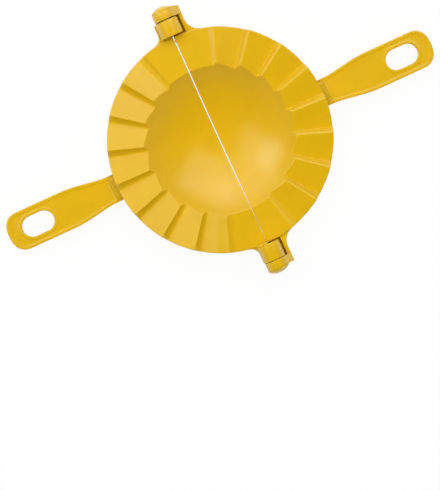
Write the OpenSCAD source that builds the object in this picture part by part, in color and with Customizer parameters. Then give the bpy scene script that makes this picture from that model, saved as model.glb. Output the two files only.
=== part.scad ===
// Empanada press: two moulded halves on two hinge pins, lying open on their cutting edges.
// The hinge axis runs along Y, a handle points each way along X, and the table is at z = 0.

/* [Disc] */
// Radius of the round crimping rim
rim_r = 76; // [70:1:82]
// Radius of the bowl's mouth at the closing face
bowl_r = 49.5; // [44:0.5:54]
// Depth of the bowl below the closing face
bowl_depth = 20; // [14:1:24]
// Height of the bowl's underside above the table
foot_clear = 1.3; // [0.5:0.1:4]
// Thickness of the moulded walls
wall = 2.2; // [1.8:0.1:2.6]
// Gap between the two halves along the fold
seam_gap = 0.8; // [0.4:0.1:1.2]
// Gap left for the dough between the closed rims
crimp_gap = 1.4; // [0.8:0.1:2]

/* [Pleats] */
// Number of fan panels round each half rim
panel_count = 10; // [6:1:12]
// Rise of a pleat, measured at the outer edge of the rim
pleat_rise = 4.6; // [2:0.2:6]
// Angle that the slanted riser of a pleat takes up
riser_angle = 2.6; // [1.2:0.2:5]
// Angle by which a riser of the right half stands behind the one it closes on
riser_lag = 1.2; // [0:0.1:2]

/* [Cutter] */
// How far the crimping rim stands out over the cutter wall
lip_w = 0.8; // [0.4:0.1:1.4]
// Depth of the rim's band below the lowest pleat
band_margin = 0.5; // [0.2:0.1:2]
// How far the cutter wall draws in between the rim and its edge
cutter_draft = 1.4; // [0.6:0.1:2.4]
// Thickness of the cutting edge
edge_t = 1; // [0.6:0.1:1.6]

/* [Handles] */
// Length of a handle beyond the rim
handle_len = 80.5; // [66:0.5:100]
// Drop from the closing face to the top of a handle
handle_drop = 8.5; // [6:0.5:12]
// Width of a handle where it leaves the rim
root_w = 18.2; // [14:0.2:24]
// Width of the grip
grip_w = 26.4; // [20:0.2:32]
// Length over which a handle widens from the rim to its full width
taper_len = 37; // [24:1:48]
// Length of the rounded end of a handle
end_len = 11.5; // [8:0.5:14]
// Bulge of the rounded end, where 2 is an ellipse and more is squarer
end_power = 2.4; // [2:0.1:4]
// Height of the border round a handle
border_h = 4.4; // [3.8:0.1:6]
// Width of the border round a handle and round its slot
border_w = 1.8; // [1.2:0.1:2.6]
// Depth of the shallow tray in the top of a handle
tray_depth = 0.8; // [0.4:0.1:1.2]
// Distance from the rim to the near end of the tray
tray_start = 4.6; // [4.6:0.2:9]
// Radius of the fillet between a handle and the cutter wall
root_fillet = 4; // [1.5:0.5:4.5]
// Length of the hanging slot
slot_len = 22.8; // [16:0.2:28]
// Width of the hanging slot
slot_w = 14.1; // [9:0.1:16]
// Distance from the end of a handle to the middle of its slot
slot_setback = 21.6; // [18:0.2:26]

/* [Hinges] */
// Radius of the hinge barrels and collars
barrel_r = 7.8; // [6:0.1:8.5]
// Length of a barrel on the left half
barrel_len = 11.1; // [8:0.1:16]
// Distance from the rim's circle to the near end of a barrel
barrel_set = 0.3; // [0.1:0.1:1.5]
// Clearance between a barrel and the rim of the right half
rim_gap = 0.7; // [0.4:0.1:1.2]
// Clearance between a barrel and the collar beyond it
end_gap = 0.8; // [0.4:0.1:1.4]
// Length of a collar on the right half
collar_len = 5.8; // [4:0.2:9]
// Clearance between a barrel and the arm beside it
arm_gap = 1.5; // [0.8:0.1:2]
// Thickness of the arm that carries a collar
arm_t = 2.5; // [2:0.1:4]
// Clearance between a barrel and the floor under it, which joins the arm to the ring
floor_gap = 0.6; // [0.4:0.1:1.2]
// Thickness of that floor
floor_t = 1.6; // [1:0.1:2.4]
// Width of the shoulder beside the upper barrel, on top of its bracket
shoulder_w = 1.1; // [0.2:0.1:2]
// Drop from the closing face to the top of the arm and flares
bracket_drop = 1.2; // [0.6:0.1:2]
// Radius of the flare between a barrel's bracket and the rim
barrel_flare = 6; // [3:0.5:8]
// Radius of the flare between an arm and the rim
arm_flare = 10; // [4:0.5:12]
// Chamfer on the ends of barrels and collars
end_chamfer = 0.5; // [0.2:0.1:1]

/* [Pins] */
// Radius of a hinge pin
pin_r = 2.5; // [1.5:0.1:3.5]
// Clearance round a pin where it turns in its collar
pin_gap = 0.08; // [0.02:0.01:0.1]
// Length of pin pressed into a barrel
pin_grip = 9; // [5:0.5:10.5]
// Radius of a pin's domed head
head_r = 7.2; // [4.6:0.1:7.6]
// Height of a pin's domed head
head_h = 3.2; // [1.4:0.1:4]
// Height of the straight edge of a pin's head
head_edge = 0.6; // [0.3:0.1:1]
// Clearance between a pin's head and its collar
head_gap = 0.2; // [0.1:0.05:0.4]
// Chamfer on the tip of a pin
tip_chamfer = 0.6; // [0.3:0.1:1]

/* [Hidden] */
$fn = 96;

// Overshoot of a cutting shape beyond the face that it cuts
over = 1;
// Thickness left where a fillet or a flare runs out
blunt = 0.2;
// Points along the taper and along each rounded corner of a handle
taper_steps = 12;
corner_steps = 12;

left_side = -1;
right_side = 1;

// Heights above the table
face_z = foot_clear + wall + bowl_depth;
axis_z = face_z + crimp_gap / 2;
band_z = face_z - wall - pleat_rise / 2 - band_margin;
handle_z = face_z - handle_drop;
bracket_top_z = face_z - bracket_drop;
floor_top_z = axis_z - barrel_r - floor_gap;
bracket_bottom_z = floor_top_z - floor_t;
drum_top_z = face_z + pleat_rise + over;

// The bowl is part of a sphere that passes through its mouth and its lowest point
bowl_sphere_r = (pow(bowl_r, 2) + pow(bowl_depth, 2)) / (2 * bowl_depth);
bowl_centre_z = face_z - bowl_depth + bowl_sphere_r;

// Radii of the cutter wall
wall_outer_r = rim_r - lip_w;
wall_inner_r = wall_outer_r - wall;
edge_outer_r = wall_outer_r - cutter_draft;
edge_inner_r = edge_outer_r - edge_t;

// Radius at which the fillet over a handle's root, which starts under the lip, runs out
fillet_end_r = rim_r - lip_w / 2 + root_fillet;

// Distances from the middle of the press along X
handle_end = rim_r + handle_len;
slot_mid = handle_end - slot_setback;
arm_inner_x = barrel_r + arm_gap;
arm_outer_x = arm_inner_x + arm_t;

// Distances from the middle of the press along Y, outwards through a hinge
bracket_root_y = sqrt(pow(wall_inner_r, 2) - pow(arm_outer_x + arm_flare, 2));
barrel_y = rim_r + barrel_set;
barrel_end_y = barrel_y + barrel_len;
collar_y = barrel_end_y + end_gap;
collar_end_y = collar_y + collar_len;
head_y = collar_end_y + head_gap;
pin_tip_y = barrel_end_y - pin_grip;

// Pleats: each half rim is a fan of flat panels about the middle of the press.
// The first and last panels are level, and the others lean up and then drop at a riser.
panel_angle = 180 / panel_count;
fan_r = rim_r * 1.1;

// Angle from the upper hinge, and height in half rises, of the two edges of riser i
function riser_edges(i, lag) = [
    [i * panel_angle + lag - riser_angle / 2, i == 1 ? 0 : 1],
    [i * panel_angle + lag + riser_angle / 2, i == panel_count - 1 ? 0 : -1]
];
function fan_edges(lag) = concat(
    [[0, 0]],
    [for (i = [1 : panel_count - 1]) each riser_edges(i, lag)],
    [[180, 0]]
);

// Everything below the pleated face of one half, down past the table
module under_face(side) {
    lift = pleat_rise / 2 * fan_r / rim_r;
    rim_points = [for (e = fan_edges(side > 0 ? riser_lag : 0))
        [side * fan_r * sin(e[0]), fan_r * cos(e[0]), face_z - side * e[1] * lift]];
    base_points = [for (p = rim_points) [p[0], p[1], -over]];
    n = len(rim_points);
    apex = 2 * n;
    base = 2 * n + 1;
    top = [for (i = [0 : n - 2]) [apex, i, i + 1]];
    bottom = [for (i = [0 : n - 2]) [base, n + i + 1, n + i]];
    outside = [for (i = [0 : n - 2]) each [[i, n + i, i + 1], [i + 1, n + i, n + i + 1]]];
    fold = [[0, apex, base], [0, base, n], [apex, n - 1, base], [n - 1, 2 * n - 1, base]];
    faces = concat(top, bottom, outside, fold);
    translate([side * seam_gap / 2, 0, 0])
        polyhedron(
            concat(rim_points, base_points, [[0, 0, face_z], [0, 0, -over]]),
            side > 0 ? faces : [for (f = faces) [f[2], f[1], f[0]]]
        );
}

// The round body of the press with its overhanging rim, up past the pleats
module drum() {
    rotate_extrude()
        polygon([
            [0, 0], [edge_outer_r, 0], [wall_outer_r, band_z],
            [rim_r, band_z], [rim_r, drum_top_z], [0, drum_top_z]
        ]);
}

// The open space between the bowl and the cutter wall, up past the pleats
module ring_hollow() {
    difference() {
        rotate_extrude()
            polygon([
                [0, -over], [edge_inner_r, -over], [edge_inner_r, 0],
                [wall_inner_r, band_z], [wall_inner_r, drum_top_z], [0, drum_top_z]
            ]);
        translate([0, 0, bowl_centre_z]) sphere(bowl_sphere_r + wall);
    }
}

module bowl_space() {
    translate([0, 0, bowl_centre_z]) sphere(bowl_sphere_r);
}

function smooth(t) = t * t * (3 - 2 * t);
function taper_half_w(t) = root_w / 2 + (grip_w - root_w) / 2 * smooth(t);

// Upper edge of a handle's outline, drawn in by inset, from the root to the tip
function handle_edge(inset) = concat(
    [[wall_inner_r, root_w / 2 - inset]],
    [for (i = [0 : taper_steps]) [rim_r + taper_len * i / taper_steps, taper_half_w(i / taper_steps) - inset]],
    [for (i = [0 : corner_steps]) let (a = 90 - 90 * i / corner_steps) [
        handle_end - end_len + (end_len - inset) * pow(cos(a), 2 / end_power),
        (grip_w / 2 - inset) * pow(sin(a), 2 / end_power)
    ]]
);

module handle_outline(inset) {
    upper = handle_edge(inset);
    n = len(upper);
    polygon(concat(upper, [for (i = [n - 2 : -1 : 0]) [upper[i][0], -upper[i][1]]]));
}

module slot_outline(margin) {
    end_x = (slot_len - slot_w) / 2;
    translate([slot_mid, 0]) {
        square([2 * end_x, slot_w + 2 * margin], center = true);
        for (x = [-end_x, end_x]) translate([x, 0]) circle(slot_w / 2 + margin);
    }
}

// Recess in one face of a handle, inside its border and clear of the slot's border
module handle_tray(floor_z, depth) {
    difference() {
        translate([0, 0, floor_z])
            linear_extrude(depth)
                difference() {
                    handle_outline(border_w);
                    slot_outline(border_w);
                }
        cylinder(r = rim_r + tray_start, h = axis_z);
    }
}

// Concave fillet that carries the top of a handle up to the cutter wall
module root_fillet_ring() {
    intersection() {
        rotate_extrude()
            difference() {
                translate([wall_inner_r, handle_z - border_h / 2])
                    square([fillet_end_r - wall_inner_r, band_z + band_margin / 2 - handle_z + border_h / 2]);
                translate([fillet_end_r, handle_z + blunt + root_fillet]) circle(root_fillet);
            }
        translate([0, 0, handle_z - border_h])
            linear_extrude(drum_top_z)
                handle_outline(border_w);
    }
}

module handle() {
    difference() {
        translate([0, 0, handle_z - border_h])
            linear_extrude(border_h)
                difference() {
                    handle_outline(0);
                    slot_outline(0);
                }
        handle_tray(handle_z - tray_depth, tray_depth + over);
        handle_tray(handle_z - border_h - over, border_h - tray_depth - wall + over);
    }
    root_fillet_ring();
}

// Concave flare between a bracket's side at x and the round rim
module flare(x, r) {
    reach = rim_r + blunt + r;
    centre = [x + r, sqrt(pow(reach, 2) - pow(x + r, 2))];
    touch = centre * (rim_r + blunt) / reach;
    translate([0, 0, bracket_bottom_z])
        linear_extrude(bracket_top_z - bracket_bottom_z)
            difference() {
                polygon([[x, bracket_root_y], [touch[0], bracket_root_y], touch, centre, [x, centre[1]]]);
                translate(centre) circle(r);
            }
}

// Round body along a hinge, between two distances from the middle, with chamfered ends
module hinge_round(from_y, to_y) {
    translate([0, from_y, axis_z])
        rotate([-90, 0, 0])
            rotate_extrude()
                polygon([
                    [0, 0], [barrel_r - end_chamfer, 0], [barrel_r, end_chamfer],
                    [barrel_r, to_y - from_y - end_chamfer], [barrel_r - end_chamfer, to_y - from_y],
                    [0, to_y - from_y]
                ]);
}

// Round space along a hinge, between two distances from the middle
module hinge_space(r, from_y, to_y) {
    translate([0, from_y, axis_z]) rotate([-90, 0, 0]) cylinder(r = r, h = to_y - from_y);
}

// Block between two corners
module block(low, high) {
    translate(low) cube(high - low);
}

// One half of the disc with its handle, before its hinge parts are added
module half_disc(side) {
    intersection() {
        drum();
        under_face(side);
    }
    on_side(side) handle();
}

module on_side(side) {
    if (side > 0) children();
    else mirror([1, 0, 0]) children();
}

// Both hinges of the right half are alike, mirrored across the handles
module both_hinges() {
    children();
    mirror([0, 1, 0]) children();
}

module hollow_out(side) {
    intersection() {
        ring_hollow();
        translate([0, 0, -wall]) under_face(side);
    }
    bowl_space();
}

// Barrel with the bracket that joins it to the rim of the left half
module barrel(shoulder) {
    hinge_round(barrel_y, barrel_end_y);
    block(
        [-barrel_r, bracket_root_y, bracket_bottom_z],
        [-seam_gap / 2, barrel_end_y, face_z]
    );
    block(
        [-barrel_r - shoulder, bracket_root_y, bracket_bottom_z],
        [-seam_gap / 2, barrel_end_y, bracket_top_z]
    );
    mirror([1, 0, 0]) flare(barrel_r + shoulder, barrel_flare);
}

module both_barrels() {
    barrel(shoulder_w);
    mirror([0, 1, 0]) barrel(0);
}

// Arm beside the barrel, floor under it and collar beyond it, on the right half
module collar() {
    hinge_round(collar_y, collar_end_y);
    block(
        [arm_inner_x, bracket_root_y, bracket_bottom_z],
        [arm_outer_x, collar_end_y, bracket_top_z]
    );
    block(
        [seam_gap / 2, bracket_root_y, bracket_bottom_z],
        [arm_outer_x, collar_end_y, floor_top_z]
    );
    block(
        [seam_gap / 2, collar_y, bracket_bottom_z],
        [arm_outer_x, collar_end_y, bracket_top_z]
    );
    flare(arm_outer_x, arm_flare);
}

module left_half() {
    color("gold")
        difference() {
            union() {
                half_disc(left_side);
                both_barrels();
            }
            hollow_out(left_side);
            both_hinges() hinge_space(pin_r, pin_tip_y, barrel_end_y + over);
        }
}

module right_half() {
    color("goldenrod")
        difference() {
            union() {
                half_disc(right_side);
                both_hinges() collar();
            }
            hollow_out(right_side);
            both_hinges() {
                block(
                    [-over, barrel_y - rim_gap, floor_top_z],
                    [arm_inner_x, barrel_end_y, drum_top_z]
                );
                hinge_space(pin_r + pin_gap, collar_y - over, collar_end_y + over);
            }
        }
}

// Headed pin pressed into a barrel, on which the collar turns
module hinge_pin() {
    dome_h = head_h - head_edge;
    dome_r = (pow(head_r, 2) + pow(dome_h, 2)) / (2 * dome_h);
    shaft_len = head_y - pin_tip_y;
    translate([0, pin_tip_y, axis_z])
        rotate([-90, 0, 0])
            rotate_extrude()
                union() {
                    polygon([
                        [0, 0], [pin_r - tip_chamfer, 0], [pin_r, tip_chamfer],
                        [pin_r, shaft_len + head_edge], [0, shaft_len + head_edge]
                    ]);
                    intersection() {
                        translate([0, shaft_len + head_h - dome_r]) circle(dome_r);
                        translate([0, shaft_len]) square([head_r, head_h]);
                    }
                }
}

module upper_hinge_pin() {
    color("orange") hinge_pin();
}

module lower_hinge_pin() {
    color("orange") mirror([0, 1, 0]) hinge_pin();
}

left_half();
right_half();
upper_hinge_pin();
lower_hinge_pin();
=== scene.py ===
import math
from collections import namedtuple

import bmesh
import bpy
from mathutils import Matrix, Vector
from mathutils.geometry import tessellate_polygon


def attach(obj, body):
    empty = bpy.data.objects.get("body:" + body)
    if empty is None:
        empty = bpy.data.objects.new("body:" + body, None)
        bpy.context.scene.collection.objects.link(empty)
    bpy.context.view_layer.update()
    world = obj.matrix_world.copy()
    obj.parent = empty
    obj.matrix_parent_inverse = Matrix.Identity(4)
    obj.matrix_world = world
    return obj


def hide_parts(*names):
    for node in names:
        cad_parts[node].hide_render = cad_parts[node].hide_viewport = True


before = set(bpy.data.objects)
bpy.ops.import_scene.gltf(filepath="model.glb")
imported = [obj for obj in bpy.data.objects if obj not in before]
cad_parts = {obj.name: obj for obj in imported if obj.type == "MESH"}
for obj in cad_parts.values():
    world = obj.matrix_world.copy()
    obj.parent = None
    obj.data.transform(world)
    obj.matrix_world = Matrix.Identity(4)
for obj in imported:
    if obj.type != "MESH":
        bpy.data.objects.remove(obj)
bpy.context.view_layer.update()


# ---- Half discs: rim, bowl and cutting ring ----------------------------------------------------------------
# Each half of the press is one injection moulding in glossy yellow polypropylene. Its half disc has a fan of
# pleats round the rim, half of the round bowl, and the thin ring under the rim that cuts the dough.

# Sizes are in millimetres and angles in degrees; x runs to the right handle and y to the upper hinge
MM = 0.001
LEFT, RIGHT = -1, 1

rim_r, rim_round = 76.0, 0.6    # round outer edge of the crimping rim
face_z = 23.5                   # closing face above the table
wall_t = 2.2
mouth_r, mouth_round = 50.0, 1.0        # where the bowl's sphere meets the closing face
bowl_depth = 20.0
dome_round = 1.0                # rounding between the bowl's back and the rim's underside
lip_z, lip_round = 18.5, 0.3    # underside of the rim where it stands out over the ring

ring_top_r, ring_edge_r, ring_edge_t, ring_edge_round = 75.2, 73.8, 1.0, 0.3
ring_inner_r, ring_inner_round = 73.0, 1.5
ring_inside = (72.82, 1.2), (72.87, 6), (72.93, 12), (72.98, 16)        # radius and height, slightly drafted

panels = 10
pleat_rise = 4.6                # at the outer edge
riser_angle = 2.6
riser_lag = {LEFT: 0.0, RIGHT: 1.2}
edge_softness = 0.16, 1.4       # rounding of each riser's two edges, in half rises; the halves match

fold_gap = 0.8                  # between the two halves, along the fold
fold_x = fold_gap / 2
fold_round = 0.28               # soft edge along the fold
fold_close = 0.05, 0.34         # each half comes this much nearer to the fold, above and at the lower hinge
fold_close_from_y, fold_close_over = -15.0, 45.0        # the gap narrows from this place over this length
fold_close_depth = 3.0          # how far from the fold a half is still shifted
fold_reach = 37.0               # half length of the fold line on which the bowl's grid lines end
fan_x = fold_x + fold_round     # the fan of pleats is drawn from this point beside the fold

rim_notch_y = 75.6              # the rim is cut back here beside the barrels, but not at the lower one
lip_root_y = 75.28              # and its lip ends here, just outside the ring
notch_from_r = rim_r - 1        # nothing further in is cut back

# Rows of the wall's grid: shares of the way up the bowl and down its back, radii on the two flat faces,
# steps beside the mouth, and heights on the ring's outside
bowl_shares = 0, .05, .11, .18, .26, .34, .42, .5, .58, .65, .72, .78, .84, .89, .93, .96, .985
dome_shares = 1, .96, .9, .82, .74, .66, .57, .48, .38, .28, .18, .09, 0
face_rows, under_rows = (58, 64, 70, 74.3), (70.6, 66, 61, 55)
beside_mouth, past_mouth = 0.7, 4
ring_rows = 17, 12, 6, 1.2

ball_r = (mouth_r ** 2 + bowl_depth ** 2) / (2 * bowl_depth)
ball_z = face_z - bowl_depth + ball_r
dome_r = ball_r + wall_t
under_z = face_z - wall_t

# Colour of the plastic where plain light falls straight on it
plastic_yellow = (0.775, 0.461, 0.006)


def moulded_plastic(name):
    """Glossy polypropylene: faint flow marks, a very fine orange-peel skin and slightly duller patches."""
    material = bpy.data.materials.new(name)
    material.use_nodes = True
    nodes, links = material.node_tree.nodes, material.node_tree.links
    shader = nodes["Principled BSDF"]
    place = nodes.new("ShaderNodeTexCoord").outputs["Object"]

    def noise(scale, detail, distortion=0.0):
        node = nodes.new("ShaderNodeTexNoise")
        node.inputs["Scale"].default_value = scale
        node.inputs["Detail"].default_value = detail
        node.inputs["Distortion"].default_value = distortion
        links.new(place, node.inputs["Vector"])
        return node.outputs["Fac"]

    def spread(value, low, high):
        """Stretches the middle range of a noise between two values."""
        node = nodes.new("ShaderNodeMapRange")
        node.inputs["From Min"].default_value = 0.3
        node.inputs["From Max"].default_value = 0.7
        node.inputs["To Min"].default_value = low
        node.inputs["To Max"].default_value = high
        links.new(value, node.inputs["Value"])
        return node.outputs["Result"]

    # Flow marks: broad, barely darker and lighter swirls left by the melt
    tone = nodes.new("ShaderNodeMix")
    tone.data_type = "RGBA"
    for socket, strength in (("A", 0.97), ("B", 1.03)):
        tone.inputs[socket].default_value = tuple(strength * c for c in plastic_yellow) + (1,)
    links.new(spread(noise(scale=38, detail=3, distortion=1.2), 0, 1), tone.inputs["Factor"])
    links.new(tone.outputs["Result"], shader.inputs["Base Color"])

    # Broad patches of the polished skin are a shade duller; finer ones would show as specks of light
    links.new(spread(noise(scale=60, detail=1), low=0.257, high=0.273), shader.inputs["Roughness"])

    skin = nodes.new("ShaderNodeBump")
    skin.inputs["Strength"].default_value = 0.03
    skin.inputs["Distance"].default_value = 0.00005
    links.new(noise(scale=350, detail=2), skin.inputs["Height"])
    links.new(skin.outputs["Normal"], shader.inputs["Normal"])

    # A trace of light passes through the thin walls and comes out warmer
    shader.inputs["IOR"].default_value = 1.49
    shader.inputs["Specular IOR Level"].default_value = 1.0
    shader.inputs["Specular Tint"].default_value = (0.78, 1.0, 0.93, 1)
    shader.inputs["Subsurface Weight"].default_value = 0.1
    shader.inputs["Subsurface Radius"].default_value = (1.0, 0.35, 0.06)
    shader.inputs["Subsurface Scale"].default_value = 0.0025
    return material


plastic = moulded_plastic("yellow_polypropylene")


def eased(share):
    """A share between 0 and 1 that starts and stops gently."""
    share = max(0, min(1, share))
    return share * share * (3 - 2 * share)


def arc(centre, radius, start, end, steps):
    """Points (out, up) along an arc; angles in degrees, 0 outwards and 90 up."""
    turns = [math.radians(start + (end - start) * i / steps) for i in range(steps + 1)]
    return [(centre[0] + radius * math.cos(a), centre[1] + radius * math.sin(a)) for a in turns]


# One row round the wall. Its share is its place along the bowl, or None outside the bowl; its lift is 1 where
# the pleats raise it, and its slide says how far it moves out with the bowl's mouth
Row = namedtuple("Row", "share radius height lift slide ball")


def disc_rows():
    """Rows round a half disc's wall, from the fold over the bowl, rim and ring and back under the bowl."""
    rows = []

    def ring(points, lift=0.0, slide=0.0):
        rows.extend(Row(None, r, z, lift, slide, 0.0) for r, z in points)

    def bowl(shares, radius, ball):
        rows.extend(Row(share, radius, 0.0, 0.0, share * share, ball) for share in shares)

    def mouth_centre(ball, rounding, flat_z):
        """Centre of the rounding between a sphere and the flat round it, and the angle where it starts."""
        r, z = math.sqrt((ball + rounding) ** 2 - (ball_z - flat_z + rounding) ** 2), flat_z - rounding
        return (r, z), 180 - math.degrees(math.asin((ball_z - z) / (ball + rounding)))

    # Inside of the bowl and its rounded mouth
    centre, tangent = mouth_centre(ball_r, mouth_round, face_z)
    mouth = arc(centre, mouth_round, tangent, 90, 5)
    bowl(bowl_shares, mouth[0][0], ball_r)
    ring(mouth, 1, 1)
    ring([(centre[0] + beside_mouth, face_z)], 1, 1)
    ring([(centre[0] + past_mouth, face_z)], 1, 0.4)

    # Closing face, the rim's edge and its lip
    ring([(r, face_z) for r in face_rows], 1)
    ring(arc((rim_r - rim_round, face_z - rim_round), rim_round, 90, 0, 5), 1)
    ring([(rim_r, face_z - 1.1)], 1)
    ring([(rim_r, lip_z + 0.7)])
    ring(arc((rim_r - lip_round, lip_z + lip_round), lip_round, 0, -90, 3))
    ring([(ring_top_r + 0.2, lip_z), (ring_top_r + 0.03, lip_z - 0.07)])

    # Cutting ring: drafted outside, rounded edge and inside
    draft = (ring_top_r - ring_edge_r) / lip_z
    ring([(ring_edge_r + draft * z, z) for z in (lip_z - 0.3, *ring_rows)])
    ring(arc((ring_edge_r - ring_edge_round, ring_edge_round), ring_edge_round, 0, -90, 3))
    ring(arc((ring_edge_r - ring_edge_t + ring_edge_round, ring_edge_round), ring_edge_round, -90, -180, 3))
    ring(ring_inside)

    # Underside of the rim and back of the bowl
    centre = (ring_inner_r - ring_inner_round, under_z - ring_inner_round)
    ring(arc(centre, ring_inner_round, 0, 90, 4), 1)
    ring([(r, under_z) for r in under_rows], 1)
    centre, tangent = mouth_centre(dome_r, dome_round, under_z)
    ring([(centre[0] + beside_mouth, under_z)], 1, 1)
    ring(arc(centre, dome_round, 90, tangent, 4), 1, 1)
    bowl(dome_shares, rows.pop().radius, dome_r)
    return rows


def fan_turns(side):
    """Directions of the grid lines, in degrees from the upper hinge, close together at the pleats' edges."""
    step = 180 / panels
    sharp_edge = [-riser_angle / 2 - d for d in (-0.4, -0.2, -0.1, 0, 0.1, 0.2, 0.4, 0.9)]
    soft_edge = [0.4 * k - 0.6 for k in range(11)]
    near = sharp_edge + soft_edge
    before, after = -min(near), max(near)
    risers = [i * step + riser_lag[side] for i in range(1, panels)]
    first, last = risers[0] - before, risers[-1] + after
    turns = [r + d for r in risers for d in near]
    turns += [r + after + (step - after - before) * k / 6 for r in risers[:-1] for k in range(1, 6)]
    turns += [first * k / 7 for k in range(7)] + [last + (180 - last) * k / 7 for k in range(1, 8)]
    return sorted(turns)


def wall_point(side, turn, row):
    """Point of a half disc's wall where a direction of the fan meets a row, before the pleats are raised."""
    s, c = math.sin(math.radians(turn)), math.cos(math.radians(turn))
    along = math.sqrt(row.radius ** 2 - (fan_x * c) ** 2) - fan_x * s
    x, y, z = fan_x + along * s, along * c, row.height
    if row.share is not None:
        x, y = fan_x + (x - fan_x) * row.share, fold_reach * c + (y - fold_reach * c) * row.share
        z = ball_z - math.sqrt(row.ball ** 2 - x ** 2 - y ** 2)
    if row.radius > notch_from_r and (side == RIGHT or c > 0):
        past_notch = max(0, abs(c) * math.sqrt(rim_r ** 2 - fan_x ** 2) - rim_notch_y)
        at_lip_root = z < lip_z + 0.01 and row.radius < rim_r - 0.5
        stop_y = lip_root_y if at_lip_root else rim_notch_y
        y = math.copysign(min(abs(y) - past_notch, stop_y) if past_notch else abs(y), c)
    return x, y, z


def nearer_to_fold(x, y):
    """Distance from the fold line once the gap has narrowed towards the lower hinge."""
    above, below = fold_close
    close = above + (below - above) * eased((fold_close_from_y - y) / fold_close_over)
    return x - close * max(0, 1 - (x - fold_x) / fold_close_depth) ** 2


def inset_outline(outline, inset):
    """A closed outline drawn in by the same distance all round."""
    area = sum(a[0] * b[1] - b[0] * a[1] for a, b in zip(outline, outline[1:] + outline[:1]))
    way = math.copysign(1, area)
    drawn = []
    for i, here in enumerate(outline):
        before, after = outline[i - 1], outline[(i + 1) % len(outline)]
        sides = []
        for a, b in ((before, here), (here, after)):
            dx, dy = b[0] - a[0], b[1] - a[1]
            length = math.hypot(dx, dy)
            sides.append((-dy / length * way, dx / length * way))
        nx, ny = sides[0][0] + sides[1][0], sides[0][1] + sides[1][1]
        reach = inset * 2 / max(nx ** 2 + ny ** 2, 1e-6)
        drawn.append((here[0] + nx * reach, here[1] + ny * reach))
    return drawn


def solid_mesh(name, points, faces):
    """Closed mesh from points in millimetres, with its faces turned outwards and shaded smooth."""
    mesh = bpy.data.meshes.new(name)
    mesh.from_pydata([tuple(MM * v for v in p) for p in points], [], faces)
    bm = bmesh.new()
    bm.from_mesh(mesh)
    bmesh.ops.recalc_face_normals(bm, faces=bm.faces)
    for face in bm.faces:
        face.smooth = True
    bm.to_mesh(mesh)
    bm.free()
    return mesh


def half_disc_mesh(side):
    """Wall of a half disc before its pleats are raised, closed along the fold with a rounded edge."""
    rows, turns = disc_rows(), fan_turns(side)
    points = [wall_point(side, turn, row) for turn in turns for row in rows]
    wide, tall = len(turns), len(rows)
    faces = [(i * tall + j, i * tall + j + 1, (i + 1) * tall + j + 1, (i + 1) * tall + j)
             for i in range(wide - 1) for j in range(tall - 1)]

    # The open edge runs round the wall's section at the fold; it is rolled inwards and capped
    last = (wide - 1) * tall
    edge = list(range(tall)) + [i * tall + tall - 1 for i in range(1, wide)]
    edge += [last + j for j in range(tall - 2, -1, -1)] + [i * tall for i in range(wide - 2, 0, -1)]
    outline = [points[k][1:] for k in edge]
    steps = 4
    for k in range(1, steps + 1):
        a = math.radians(90 * k / steps)
        x = fold_x + fold_round * (1 - math.sin(a))
        ring = [(x, y, z) for y, z in inset_outline(outline, fold_round * (1 - math.cos(a)))]
        rolled = list(range(len(points), len(points) + len(ring)))
        points += ring
        faces += [(edge[i - 1], edge[i], rolled[i], rolled[i - 1]) for i in range(len(edge))]
        edge = rolled
    faces.append(tuple(edge))

    mesh = solid_mesh("half_disc", [(side * nearer_to_fold(x, y), y, z) for x, y, z in points], faces)
    spare = [0.0] * (len(points) - wide * tall)
    for name, values in (("lift", [row.lift for row in rows]), ("slide", [row.slide for row in rows]),
                         ("ball", [row.ball * MM for row in rows])):
        mesh.attributes.new(name, "FLOAT", "POINT").data.foreach_set("value", values * wide + spare)
    return mesh


def maths_in(tree):
    """Gives a tree its own way to add Math nodes, fed with numbers or with other nodes' outputs."""
    def maths(operation, *terms, clamp=False):
        node = tree.nodes.new("ShaderNodeMath")
        node.operation = operation
        node.use_clamp = clamp
        for socket, term in zip(node.inputs, terms):
            if isinstance(term, (int, float)):
                socket.default_value = term
            else:
                tree.links.new(term, socket)
        return node.outputs[0]
    return maths


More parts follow.
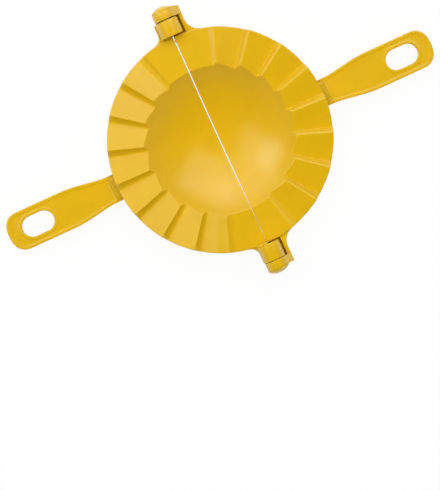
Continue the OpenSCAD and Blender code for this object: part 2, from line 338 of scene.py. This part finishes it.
def pleats_tree():
    """Leans each panel of the fan up to its riser, and lets the bowl's mouth follow along the sphere."""
    tree = bpy.data.node_groups.new("fan_pleats", "GeometryNodeTree")
    sockets = tree.interface
    sockets.new_socket("Half disc", in_out="INPUT", socket_type="NodeSocketGeometry")
    for name in ("Side", "Panels", "Rise", "Riser angle", "Riser lag", "Softness before riser",
                 "Softness after riser", "Rim radius", "Mouth radius", "Bowl radius", "Bowl centre height",
                 "Fan centre"):
        sockets.new_socket(name, in_out="INPUT", socket_type="NodeSocketFloat")
    sockets.new_socket("Plastic", in_out="INPUT", socket_type="NodeSocketMaterial")
    sockets.new_socket("Half disc", in_out="OUTPUT", socket_type="NodeSocketGeometry")
    nodes, links, maths = tree.nodes, tree.links, maths_in(tree)
    given = nodes.new("NodeGroupInput").outputs

    def stored(name):
        node = nodes.new("GeometryNodeInputNamedAttribute")
        node.data_type = "FLOAT"
        node.inputs["Name"].default_value = name
        return node.outputs["Attribute"]

    place = nodes.new("ShaderNodeSeparateXYZ")
    links.new(nodes.new("GeometryNodeInputPosition").outputs[0], place.inputs[0])
    x, y, z = place.outputs
    out = maths("SUBTRACT", maths("MULTIPLY", x, given["Side"]), given["Fan centre"])
    reach = maths("SQRT", maths("MULTIPLY_ADD", out, out, maths("MULTIPLY", y, y)))

    # Nearest riser, and how far past its middle the point lies, in degrees
    turn = maths("SUBTRACT", maths("DEGREES", maths("ARCTAN2", out, y)), given["Riser lag"])
    step = maths("DIVIDE", 180, given["Panels"])
    riser = maths("MAXIMUM", maths("ROUND", maths("DIVIDE", turn, step)), 1)
    riser = maths("MINIMUM", riser, maths("SUBTRACT", given["Panels"], 1))
    past = maths("SUBTRACT", turn, maths("MULTIPLY", riser, step))

    # Height in half rises: the panel before, the riser and the panel after; the end panels are level
    high = maths("GREATER_THAN", riser, 1.5)
    low = maths("LESS_THAN", riser, maths("SUBTRACT", given["Panels"], 1.5))
    half = maths("MULTIPLY", given["Riser angle"], 0.5)
    slope = maths("DIVIDE", 2, maths("SUBTRACT", step, given["Riser angle"]))
    from_top = maths("ADD", past, half)
    before = maths("MULTIPLY", high, maths("MULTIPLY_ADD", slope, from_top, 1))
    after = maths("MULTIPLY", low, maths("MULTIPLY_ADD", slope, maths("SUBTRACT", past, half), -1))
    drop = maths("MULTIPLY", maths("DIVIDE", from_top, given["Riser angle"]), maths("ADD", high, low))
    down = maths("SUBTRACT", high, drop)
    level = maths("SMOOTH_MIN", before, down, given["Softness before riser"])
    level = maths("SMOOTH_MAX", level, after, given["Softness after riser"])

    # The left half's pleats rise where the right half's fall, so that they close on each other
    lean = maths("DIVIDE", maths("MULTIPLY", given["Rise"], -0.5), given["Rim radius"])
    lean = maths("MULTIPLY", maths("MULTIPLY", lean, level), given["Side"])

    # The mouth moves outwards along the bowl's sphere as far as its panel lifts it, worked out in two rounds
    ball, mouth = given["Bowl radius"], given["Mouth radius"]
    ball_2, mouth_2 = maths("MULTIPLY", ball, ball), maths("MULTIPLY", mouth, mouth)
    full_depth, moved_mouth = maths("SQRT", maths("SUBTRACT", ball_2, mouth_2)), mouth
    for _ in range(2):
        depth = maths("SUBTRACT", full_depth, maths("MULTIPLY", lean, moved_mouth))
        moved_mouth = maths("SQRT", maths("SUBTRACT", ball_2, maths("MULTIPLY", depth, depth)))
    shift = maths("MULTIPLY", maths("SUBTRACT", moved_mouth, mouth), stored("slide"))
    raised = maths("MULTIPLY_ADD", maths("MULTIPLY", lean, maths("ADD", reach, shift)), stored("lift"), z)
    grow = maths("ADD", maths("DIVIDE", shift, reach), 1)
    out, y = maths("MULTIPLY", out, grow), maths("MULTIPLY", y, grow)

    # Points of the bowl stay on its sphere
    x = maths("ADD", out, given["Fan centre"])
    across = maths("MULTIPLY_ADD", x, x, maths("MULTIPLY", y, y))
    sphere = stored("ball")
    sunk = maths("SQRT", maths("SUBTRACT", maths("MULTIPLY", sphere, sphere), across))
    sunk = maths("SUBTRACT", given["Bowl centre height"], sunk)
    on_ball = maths("GREATER_THAN", sphere, 0.001)
    z = maths("MULTIPLY_ADD", maths("SUBTRACT", sunk, raised), on_ball, raised)

    joined = nodes.new("ShaderNodeCombineXYZ")
    for socket, value in zip(joined.inputs, (maths("MULTIPLY", x, given["Side"]), y, z)):
        links.new(value, socket)
    moved = nodes.new("GeometryNodeSetPosition")
    links.new(given["Half disc"], moved.inputs["Geometry"])
    links.new(joined.outputs[0], moved.inputs["Position"])
    whole = nodes.new("GeometryNodeRealizeInstances")
    links.new(moved.outputs["Geometry"], whole.inputs["Geometry"])
    finish = nodes.new("GeometryNodeSetMaterial")
    links.new(whole.outputs["Geometry"], finish.inputs["Geometry"])
    links.new(given["Plastic"], finish.inputs["Material"])
    links.new(finish.outputs["Geometry"], nodes.new("NodeGroupOutput").inputs["Half disc"])
    return tree


fan_pleats = pleats_tree()


def pleated_half_disc(side):
    """Finished half disc, with its pleats raised, as a plain mesh."""
    piece = bpy.data.objects.new("half_disc", half_disc_mesh(side))
    bpy.context.scene.collection.objects.link(piece)
    pleats = piece.modifiers.new("pleats", "NODES")
    pleats.node_group = fan_pleats
    sizes = {
        "Side": float(side),
        "Panels": float(panels),
        "Rise": pleat_rise * MM,
        "Riser angle": riser_angle,
        "Riser lag": riser_lag[side],
        "Softness before riser": edge_softness[0],
        "Softness after riser": edge_softness[1],
        "Rim radius": rim_r * MM,
        "Mouth radius": mouth_r * MM,
        "Bowl radius": ball_r * MM,
        "Bowl centre height": ball_z * MM,
        "Fan centre": fan_x * MM,
        "Plastic": plastic,
    }
    for socket in fan_pleats.interface.items_tree:
        if socket.in_out == "INPUT" and socket.name in sizes:
            pleats[socket.identifier] = sizes[socket.name]
    graph = bpy.context.evaluated_depsgraph_get()
    mesh = bpy.data.meshes.new_from_object(piece.evaluated_get(graph), depsgraph=graph)
    bpy.data.objects.remove(piece)
    for name in ("lift", "slide", "ball"):
        mesh.attributes.remove(mesh.attributes[name])
    return mesh


# ---- Handles -----------------------------------------------------------------------------------------------
# A flat handle runs out from each ring, moulded with it. A raised border goes round its edge and its hanging
# slot on both faces, and a fillet carries its top up to the rim.

handle_z, handle_bottom_z = 15.0, 10.6
floor_top_z, floor_bottom_z = 14.7, 12.0        # the trays inside the border, hardly sunk on top, deep below
root_half_w, grip_half_w = 9.1, 13.2
taper_len = 37.0
handle_end, end_len, end_power = 156.5, 11.5, 2.4       # the end is a rounded square, not a half circle
side_stops = [84 + 3 * k for k in range(11)] + [119, 125, 131, 137, 141]        # points along its sides
border_w = 1.8
top_slope_in, top_slope_w = 2.9, 1.5            # the top tray's soft edge
top_round, bottom_round, bottom_tray_round = 0.6, 0.5, 0.35
bottom_tray_in = 2.6
tray_inset = 1.2                # whatever is drawn in further than this goes round a tray, not round the edge
tray_start_r = 80.6
inside_ring_r = 73.9            # handles and brackets end here, inside the ring's wall
slot_mid, slot_half_len, slot_r = 134.9, 4.35, 7.05
root_fillet, root_fillet_fade = 4.0, 1.6
root_fillet_bottom_z = 14.4
root_fillet_back_r, root_fillet_toe_r = inside_ring_r + 0.3, rim_r - 0.4 + root_fillet
root_fillet_half_w = root_half_w - border_w + 0.1
toe_sunk = 0.004                # the fillet's toe is sunk this far into the handle

# Section of the border, from the top tray round the handle's edge to the lower tray: distance in from the
# edge, and height
border_section = (
    [(top_slope_in - top_slope_w * share, floor_top_z + (handle_z - floor_top_z) * eased(share))
     for share in (0, .15, .3, .5, .7, .85, 1)]
    + arc((top_round, handle_z - top_round), top_round, 90, 180, 4)
    + arc((bottom_round, handle_bottom_z + bottom_round), bottom_round, 180, 270, 3)
    + arc((border_w - bottom_tray_round, handle_bottom_z + bottom_tray_round), bottom_tray_round, 270, 360, 3)
    + arc((border_w + bottom_tray_round, floor_bottom_z - bottom_tray_round), -bottom_tray_round, 0, -90, 3)
    + [(bottom_tray_in, floor_bottom_z)]
)


def handle_half_w(x):
    """Half of the handle's width at a distance from the middle of the press."""
    return root_half_w + (grip_half_w - root_half_w) * eased((x - rim_r) / taper_len)


def handle_outline(inset):
    """Closed outline of a handle, drawn in from its edge; the tray's part starts further from the rim."""
    start_r, half_w = inside_ring_r, root_half_w - inset
    if inset > tray_inset:
        start_r = tray_start_r - border_w + inset
        half_w = handle_half_w(math.sqrt(start_r ** 2 - half_w ** 2)) - inset
    root = [(math.sqrt(start_r ** 2 - (half_w * k / 6) ** 2), half_w * k / 6) for k in range(-6, 7)]
    edge = [(x, handle_half_w(x) - inset) for x in side_stops]
    corner_steps = 22
    for k in range(corner_steps + 1):
        a = math.radians(90 - 90 * k / corner_steps)
        edge.append((handle_end - end_len + (end_len - inset) * math.cos(a) ** (2 / end_power),
                     (grip_half_w - inset) * math.sin(a) ** (2 / end_power)))
    edge[-1] = (handle_end - inset, 0.0)
    return root + edge + [(x, -y) for x, y in reversed(edge[:-1])]


def slot_outline(inset):
    """Closed outline round the hanging slot, as far out from its edge."""
    points = []
    for way, start in ((1, -90), (-1, 90)):
        points += arc((slot_mid + way * slot_half_len, 0), slot_r + inset, start, start + 180, 16)
    return points


def sweep_border(outline):
    """Rings of points round an outline, one for each point of the border's section."""
    return [[(x, y, z) for x, y in outline(inset)] for inset, z in border_section]


def ring_faces(rings, start):
    """Faces between neighbouring rings whose points are numbered from start."""
    count = len(rings[0])
    return [(start + k * count + i, start + k * count + (i + 1) % count,
             start + (k + 1) * count + (i + 1) % count, start + (k + 1) * count + i)
            for k in range(len(rings) - 1) for i in range(count)]


def handle_mesh(side):
    """Handle with its border and slot; the trays' floors span between the two outlines."""
    edge, slot = sweep_border(handle_outline), sweep_border(slot_outline)
    points = [p for ring in edge + slot for p in ring]
    slot_start = len(edge) * len(edge[0])
    faces = ring_faces(edge, 0) + ring_faces(slot, slot_start)
    for k in (0, len(border_section) - 1):
        loops = [[k * len(edge[0]) + i for i in range(len(edge[0]))],
                 [slot_start + k * len(slot[0]) + i for i in range(len(slot[0]))]]
        numbers = [i for loop in loops for i in loop]
        for corners in tessellate_polygon([[(*points[i][:2], 0) for i in loop] for loop in loops]):
            faces.append(tuple(numbers[i] for i in corners))
    return solid_mesh("handle", [(side * x, y, z) for x, y, z in points], faces)


def lofted_mesh(name, rings):
    """Closed body through rings of points, flat at its first and last ring."""
    count, last = len(rings[0]), (len(rings) - 1) * len(rings[0])
    faces = ring_faces(rings, 0) + [tuple(range(count)), tuple(range(last, last + count))]
    return solid_mesh(name, [point for ring in rings for point in ring], faces)


def root_fillet_mesh(side):
    """Concave fillet from the top of the handle up to the rim, dying away at its two sides."""
    half_w, toe_r, back_r = root_fillet_half_w, root_fillet_toe_r, root_fillet_back_r
    curve = arc((toe_r, handle_z + root_fillet), -root_fillet, 90, 3, 10)
    rings = []
    steps = 28
    for k in range(steps + 1):
        y = half_w * math.sin(math.radians(90 * (2 * k / steps - 1)))
        high = min(1, max(0, (half_w - abs(y)) / root_fillet_fade))
        high = math.sqrt(1 - (1 - high) ** 2)
        section = [(r, handle_z - toe_sunk + (z - handle_z) * high) for r, z in curve]
        section += [(back_r, section[-1][1]), (back_r, root_fillet_bottom_z), (toe_r, root_fillet_bottom_z)]
        rings.append([(side * math.sqrt(r ** 2 - y ** 2), y, z) for r, z in section])
    return lofted_mesh("root_fillet", rings)


# ---- Barrels of the left half ------------------------------------------------------------------------------
# Two round barrels stand on brackets at the ends of the fold, moulded with the left half. Each has a blind
# bore for its pin, and a small fillet joins the lower one to the flat end of the rim.

UPPER, LOWER = 1, -1
axis_z = 24.2                   # hinge axis, along y
barrel_r, barrel_y = 7.8, 76.3
barrel_end_y = {UPPER: 87.4, LOWER: 87.9}       # the halves have slid a little along the hinge
collar_y = 88.2                 # the right half's collars start here
pin_r, pin_tip_y = 2.5, 78.4
bore_r = pin_r + 0.02
bracket_bottom_z, bracket_top_z = 14.2, 22.3
bracket_soft = 0.4
shoulder = {UPPER: 1.1, LOWER: 0.0}             # how far a bracket stands out beside its barrel
barrel_flare = 6.0
flare_clear = 0.2               # a flare meets the rim this far outside it
edge_round = 0.5
round_steps = 64

# Two lips close each joint between barrel and collar from below: near and far x, bottom and top
joint_lips = (
    (fold_x + 0.02, 7.5, bracket_bottom_z + 0.05, 15.9),
    (3.4, 7.4, bracket_bottom_z + 0.2, bracket_top_z - 0.05),
)
lip_soft = 0.05

barrel_fillet = 1.5
fillet_fade_x, fillet_end_x = 5.6, 7.6
fillet_back_y, fillet_front_y, fillet_bottom_z = barrel_y - 1.7, barrel_y + 0.8, 22.6


def turned_mesh(name, section, side_y):
    """Body turned about the hinge axis from a section of (radius, distance along the axis); a section that
    starts away from the axis is closed on itself."""
    points, faces, rings = [], [], []
    for r, y in section:
        start = len(points)
        if r == 0:
            points.append((0.0, side_y * y, axis_z))
            rings.append([start] * round_steps)
        else:
            for k in range(round_steps):
                a = 2 * math.pi * k / round_steps
                points.append((r * math.cos(a), side_y * y, axis_z + r * math.sin(a)))
            rings.append(list(range(start, start + round_steps)))
    closed = section[0][0] != 0
    for k in range(0 if closed else 1, len(rings)):
        low, high = rings[k - 1], rings[k]
        for i in range(round_steps):
            j = (i + 1) % round_steps
            faces.append(tuple(dict.fromkeys((low[i], low[j], high[j], high[i]))))
    return solid_mesh(name, points, faces)


def slab_mesh(name, outline, low, high, soft, side, side_y):
    """Upright slab over an outline of (out, along), with rounded top and bottom edges."""
    rings = []
    for inset, z in arc((soft, low + soft), -soft, 90, 0, 3) + arc((soft, high - soft), -soft, 0, -90, 3):
        rings.append([(side * x, side_y * y, z) for x, y in inset_outline(outline, inset)])
    return lofted_mesh(name, rings)


def rounded_corner(corner, before, after, radius, steps=4):
    """Points that round off the square corner between two neighbours."""
    ways = []
    for other in (before, after):
        dx, dy = other[0] - corner[0], other[1] - corner[1]
        length = math.hypot(dx, dy)
        ways.append((dx / length, dy / length))
    centre = [corner[i] + radius * (ways[0][i] + ways[1][i]) for i in (0, 1)]
    turns = [math.radians(90 * k / steps) for k in range(steps + 1)]
    return [tuple(centre[i] - radius * (ways[1][i] * math.cos(a) + ways[0][i] * math.sin(a)) for i in (0, 1))
            for a in turns]


def flare_points(x, radius):
    """Concave flare from a bracket's side at x to the round rim, then in to the ring's wall, and the
    direction in which it ends."""
    reach = rim_r + flare_clear + radius
    centre = (x + radius, math.sqrt(reach ** 2 - (x + radius) ** 2))
    end = math.degrees(math.atan2(-centre[1], -centre[0]))
    points = arc(centre, radius, 180, 360 + end, 12)
    touch = points[-1]
    turn = math.degrees(math.atan2(touch[1], touch[0]))
    return points + [arc((0, 0), inside_ring_r, turn, turn, 1)[0]], turn


def ring_points(turn, x):
    """Points along the inside of the ring's wall, from a direction back to x."""
    end = math.degrees(math.acos(x / inside_ring_r))
    return arc((0, 0), inside_ring_r, turn, end, 6)[1:]


def barrel_fillet_mesh(side_y):
    """Fillet between the rim's flat end and a barrel, dying away towards the barrel's side."""
    rings = []
    steps, smallest = 24, 0.0004
    for k in range(steps + 1):
        x = fold_x + (fillet_end_x - fold_x) * math.sin(math.radians(90 * k / steps))
        fade = max(0, (x - fillet_fade_x) / (fillet_end_x - fillet_fade_x))
        size = barrel_fillet * math.sqrt(max(smallest, 1 - fade ** 2))
        section = [(fillet_back_y, face_z - 0.02)] + arc((barrel_y - size, face_z + size), size, -87, -3, 7)
        section += [(fillet_front_y, section[-1][1]), (fillet_front_y, fillet_bottom_z),
                    (fillet_back_y, fillet_bottom_z)]
        rings.append([(LEFT * x, side_y * y, z) for y, z in section])
    return lofted_mesh("barrel_fillet", rings)


def barrel_meshes(side_y):
    """Barrel, bracket and lips at one end of the left half, and the fillet at the lower one."""
    soft, end_y = edge_round, barrel_end_y[side_y]
    section = (
        [(0, barrel_y)] + arc((barrel_r - soft, barrel_y + soft), soft, -90, 0, 4)
        + arc((barrel_r - soft, end_y - soft), soft, 0, 90, 4)
        + [(bore_r + 0.4, end_y), (bore_r + 0.1, end_y - 0.08), (bore_r, end_y - 0.3), (bore_r, pin_tip_y),
           (0, pin_tip_y)]
    )
    yield turned_mesh("barrel", section, side_y)

    side_x = barrel_r + shoulder[side_y]
    flare, turn = flare_points(side_x, barrel_flare)
    corner = rounded_corner((side_x, end_y), (fold_x, end_y), flare[0], soft)
    outline = [(fold_x, end_y - 0.02)] + corner + flare + ring_points(turn, fold_x)
    yield slab_mesh("bracket", outline, bracket_bottom_z, bracket_top_z, bracket_soft, LEFT, side_y)

    lip_start, lip_end = end_y - 0.5, collar_y - 0.12
    for near_x, far_x, low, high in joint_lips:
        lip = [(near_x, lip_start), (near_x, lip_end), (far_x, lip_end), (far_x, lip_start)]
        yield slab_mesh("joint_lip", lip, low, high, lip_soft, LEFT, side_y)
    if side_y == LOWER:
        yield barrel_fillet_mesh(side_y)


# ---- Arms and collars of the right half --------------------------------------------------------------------
# An arm runs out beside each barrel, moulded with the right half, and carries a collar beyond the barrel in
# which the pin turns. A floor under the barrel joins the arm, the collar and the ring.

collar_end_y, collar_end_round = 94.12, 0.12
collar_r = 7.4
collar_bore_r, collar_bore_round = 2.58, 0.25
arm_inner_x, arm_outer_x = 9.3, 11.8
arm_end_y, arm_round, arm_soft = 94.0, 0.7, 0.3
arm_head_x = 7.5
arm_head_y = {UPPER: 95.3, LOWER: collar_end_y}         # the upper arm runs out beside the pin's head
arm_flare = 10.0
hinge_floor_z, hinge_floor_soft = 15.8, 0.15

# The slope from a collar's side down to its arm
slope_inner_x, slope_top_z, slope_bottom_z = 4.0, 28.0, 22.0
slope_end_y = 94.05
foot_x, foot_z, foot_round = arm_outer_x - 1.3, bracket_top_z - 0.4, 1.2
foot_end = arm_outer_x - 0.1, 21.5


def collar_side_mesh(side_y):
    """The collar's side, which slopes down into the arm."""
    slope = [(slope_inner_x, slope_bottom_z), (slope_inner_x, slope_top_z)]
    slope += arc((0, axis_z), collar_r - 0.02, 46, 36, 2) + arc((foot_x, foot_z), foot_round, 39, 0, 3)
    slope += [foot_end]
    ends = [(collar_y, 0.15), (collar_y + 0.05, 0.05), (collar_y + 0.15, 0), (collar_y + 0.5, 0)]
    ends += [(slope_end_y - (y - collar_y), inset) for y, inset in reversed(ends)]
    rings = [[(x, side_y * y, z) for x, z in inset_outline(slope, inset)] for y, inset in ends]
    return lofted_mesh("collar_side", rings)


def collar_meshes(side_y):
    """Collar, arm and floor at one end of the right half."""
    section = arc((collar_r - edge_round, collar_y + edge_round), edge_round, -90, 0, 4)
    section += arc((collar_r - collar_end_round, collar_end_y - collar_end_round), collar_end_round, 0, 90, 2)
    soft, inner_r = collar_bore_round, collar_bore_r + collar_bore_round
    section += arc((inner_r, collar_end_y - soft), soft, 90, 180, 2)
    section += arc((inner_r, collar_y + soft), soft, 180, 270, 2)
    yield turned_mesh("collar", section, side_y)

    flare, turn = flare_points(arm_outer_x, arm_flare)
    arm = [(arm_inner_x, collar_y), (fold_x, collar_y), (fold_x, collar_end_y)]
    arm += [(arm_head_x, arm_head_y[side_y])]
    arm += rounded_corner((arm_outer_x, arm_end_y), (fold_x, arm_end_y), flare[0], arm_round)
    arm += flare + ring_points(turn, arm_inner_x)
    yield slab_mesh("arm", arm, bracket_bottom_z, bracket_top_z, arm_soft, RIGHT, side_y)

    near_x, far_x, far_y = fold_x + 0.02, arm_inner_x + 0.5, collar_y + 0.5
    floor = [(near_x, far_y), (far_x, far_y), (far_x, math.sqrt(inside_ring_r ** 2 - far_x ** 2))]
    floor += ring_points(math.degrees(math.acos(far_x / inside_ring_r)), near_x)
    low = bracket_bottom_z + 0.02
    yield slab_mesh("hinge_floor", floor, low, hinge_floor_z, hinge_floor_soft, RIGHT, side_y)
    yield collar_side_mesh(side_y)


# ---- The two mouldings -------------------------------------------------------------------------------------
# Left half: disc, handle and two barrels in one piece. Right half: disc, handle and two arms with collars.
# Both come from the same yellow batch.


def finished_piece(name, mesh, body, node, slot):
    """Puts a mesh in the scene in its plastic, in place of its node."""
    mesh.materials.clear()
    mesh.materials.append(plastic)
    piece = bpy.data.objects.new(name, mesh)
    bpy.context.scene.collection.objects.link(piece)
    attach(piece, body)
    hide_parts(node)


def joined_mesh(name, meshes):
    """One mesh of all the forms that are moulded together."""
    bm = bmesh.new()
    for mesh in meshes:
        bm.from_mesh(mesh)
    joined = bpy.data.meshes.new(name)
    bm.to_mesh(joined)
    bm.free()
    return joined


left_parts = [pleated_half_disc(LEFT), handle_mesh(LEFT), root_fillet_mesh(LEFT)]
right_parts = [pleated_half_disc(RIGHT), handle_mesh(RIGHT), root_fillet_mesh(RIGHT)]
for end in (UPPER, LOWER):
    left_parts += barrel_meshes(end)
    right_parts += collar_meshes(end)
for name, parts, body in (("left_moulding", left_parts, "left_half"),
                          ("right_moulding", right_parts, "right_half")):
    finished_piece(name, joined_mesh(name, parts), body, body, name)


# ---- Hinge pins --------------------------------------------------------------------------------------------
# Short pins of the same plastic, pushed in from the two ends of the fold through the collars and pressed into
# the barrels. Their domed heads close the collars.

head_y, head_r, head_h, head_edge = 94.2, 7.2, 3.2, 0.6
head_soft, tip_round, neck_round = 0.12, 0.6, 0.3


def pin_section():
    """Section of a pin, from its tip along the shank and round the domed head."""
    dome_h, neck_y = head_h - head_edge, head_y - neck_round
    crown_r = (head_r ** 2 + dome_h ** 2) / (2 * dome_h)
    low = math.degrees(math.acos((head_r - head_soft) / crown_r))
    return (
        [(0, pin_tip_y)] + arc((pin_r - tip_round, pin_tip_y + tip_round), tip_round, -90, 0, 4)
        + [(pin_r, neck_y)] + arc((pin_r + neck_round, neck_y), neck_round, 180, 90, 2)
        + arc((head_r - head_soft, head_y + head_soft), head_soft, -90, 0, 3)
        + [(head_r, head_y + head_edge - 0.05), (head_r - 0.08, head_y + head_edge + 0.06)]
        + arc((0, head_y + head_h - crown_r), crown_r, low, 88.5, 9) + [(0, head_y + head_h)]
    )


for name, node, end in (("upper_pin", "upper_hinge_pin", UPPER), ("lower_pin", "lower_hinge_pin", LOWER)):
    finished_piece(name, turned_mesh(name, pin_section(), end), "left_half", node, "hinge_pin")


# ---- Table, light and camera -------------------------------------------------------------------------------
# A plain white table with nothing else on it, softboxes round the upper side, a large soft ceiling, and a
# camera that looks down on the press.

floor_half = 4.0                # half of the table's side; this section's own sizes are in metres
white_share = 0.94              # how much of the table is simply white to the eye
glossy_white = 0.6              # and how much of that white reflections show


def white_ground():
    """White to the eye and in reflections, with only the press's soft shadow left on it."""
    material = bpy.data.materials.new("white_ground")
    material.use_nodes = True
    nodes, links, maths = material.node_tree.nodes, material.node_tree.links, maths_in(material.node_tree)
    matt = nodes["Principled BSDF"]
    matt.inputs["Base Color"].default_value = (0.9, 0.9, 0.9, 1)
    matt.inputs["Roughness"].default_value = 0.9
    matt.inputs["Specular IOR Level"].default_value = 0.0
    glow = nodes.new("ShaderNodeEmission")
    rays = nodes.new("ShaderNodeLightPath").outputs
    mirrored = maths("MULTIPLY_ADD", rays["Is Glossy Ray"], glossy_white, rays["Is Transmission Ray"])
    seen = maths("ADD", rays["Is Camera Ray"], mirrored)
    mix = nodes.new("ShaderNodeMixShader")
    links.new(maths("MULTIPLY", seen, white_share, clamp=True), mix.inputs["Fac"])
    links.new(matt.outputs[0], mix.inputs[1])
    links.new(glow.outputs[0], mix.inputs[2])
    links.new(mix.outputs[0], nodes["Material Output"].inputs["Surface"])
    return material


floor_mesh = bpy.data.meshes.new("table")
floor_mesh.from_pydata([(-floor_half, -floor_half, 0), (floor_half, -floor_half, 0),
                        (floor_half, floor_half, 0), (-floor_half, floor_half, 0)], [], [(0, 1, 2, 3)])
floor_mesh.materials.append(white_ground())
table = bpy.data.objects.new("table", floor_mesh)
bpy.context.scene.collection.objects.link(table)

world = bpy.data.worlds.new("studio")
bpy.context.scene.world = world
world.use_nodes = True
world_nodes, world_links = world.node_tree.nodes, world.node_tree.links
world_maths = maths_in(world.node_tree)
world_nodes.clear()


def by_height(low, high, at_low, at_high):
    """Strength that changes smoothly between two heights of the direction looked in."""
    node = world_nodes.new("ShaderNodeMapRange")
    node.interpolation_type = "SMOOTHSTEP"
    for socket, value in (("From Min", low), ("From Max", high), ("To Min", at_low), ("To Max", at_high)):
        node.inputs[socket].default_value = value
    world_links.new(direction.outputs["Z"], node.inputs["Value"])
    return node.outputs["Result"]


# The walls give a little light, dimmer overhead; the camera, and reflections low down, see them white
walls = world_nodes.new("ShaderNodeBackground")
walls.inputs["Color"].default_value = (1.0, 1.0, 1.0, 1)
direction = world_nodes.new("ShaderNodeSeparateXYZ")
world_links.new(world_nodes.new("ShaderNodeTexCoord").outputs["Generated"], direction.inputs[0])
rays = world_nodes.new("ShaderNodeLightPath").outputs
mirrored = world_maths("ADD", rays["Is Glossy Ray"], rays["Is Transmission Ray"])
mirrored = world_maths("MULTIPLY", mirrored, by_height(low=0.0, high=0.07, at_low=1.0, at_high=0.0))
seen = world_maths("MAXIMUM", rays["Is Camera Ray"], mirrored)
lit = by_height(low=0.15, high=0.7, at_low=0.226, at_high=0.013)
world_links.new(world_maths("MAXIMUM", seen, lit), walls.inputs["Strength"])
world_links.new(walls.outputs[0], world_nodes.new("ShaderNodeOutputWorld").inputs["Surface"])


def softbox(name, turn, height, distance, width, length, power):
    """Rectangular softbox that faces the press, turned from the upper hinge towards the right handle and
    raised above the table, both in degrees."""
    lamp = bpy.data.lights.new(name, "AREA")
    lamp.shape = "RECTANGLE"
    lamp.size, lamp.size_y = width, length
    lamp.energy = power
    box = bpy.data.objects.new(name, lamp)
    a, e = math.radians(turn), math.radians(height)
    way = Vector((math.sin(a) * math.cos(e), math.cos(a) * math.cos(e), math.sin(e)))
    box.location = distance * way
    box.rotation_mode = "QUATERNION"
    box.rotation_quaternion = way.to_track_quat("Z", "Y")
    box.visible_camera = False
    bpy.context.scene.collection.objects.link(box)
    return box


softbox_distance = 1.1
for name, turn, height, width, length, power in (
        ("softbox_left", -48, 38, 0.5, 0.5, 1.5),
        ("softbox_middle", -7, 38, 1.0, 0.5, 1.25),
        ("softbox_right", 43, 38, 1.0, 0.5, 2.05),
        ("softbox_high_left", -50, 62, 0.9, 0.35, 0.75),
        ("softbox_high_right", 45, 62, 0.9, 0.35, 1.0),
        ("softbox_low", 0, 20, 1.5, 0.3, 0.83)):
    softbox(name, turn, height, softbox_distance, width, length, power)

# The ceiling lights the press evenly and isn't mirrored in the plastic
ceiling = softbox("ceiling", turn=0, height=90, distance=1.6, width=2.4, length=2.4, power=29.1)
ceiling.visible_glossy = False
ceiling.data.cycles.use_multiple_importance_sampling = False

# The camera looks almost straight down, and is turned so that the handles run up to the right
camera_height, camera_turn = 1.4, -24.62
camera = bpy.data.objects.new("camera", bpy.data.cameras.new("camera"))
bpy.context.scene.collection.objects.link(camera)
bpy.context.scene.camera = camera
eye = Vector((-0.030, 0.0, camera_height + face_z * MM))
target = Vector((-0.02954, -0.06387, face_z * MM))
turn = math.radians(camera_turn)
up = Vector((-math.sin(turn), math.cos(turn), 0))
back = (eye - target).normalized()
right = up.cross(back).normalized()
up = back.cross(right)
camera.matrix_world = Matrix([(right[i], up[i], back[i], eye[i]) for i in range(3)] + [(0, 0, 0, 1)])
camera.data.sensor_width = 36.0
camera.data.lens = 153.37
camera.data.clip_start, camera.data.clip_end = 0.05, 20
camera.data.dof.use_dof = False

bpy.context.scene.view_settings.view_transform = "Standard"
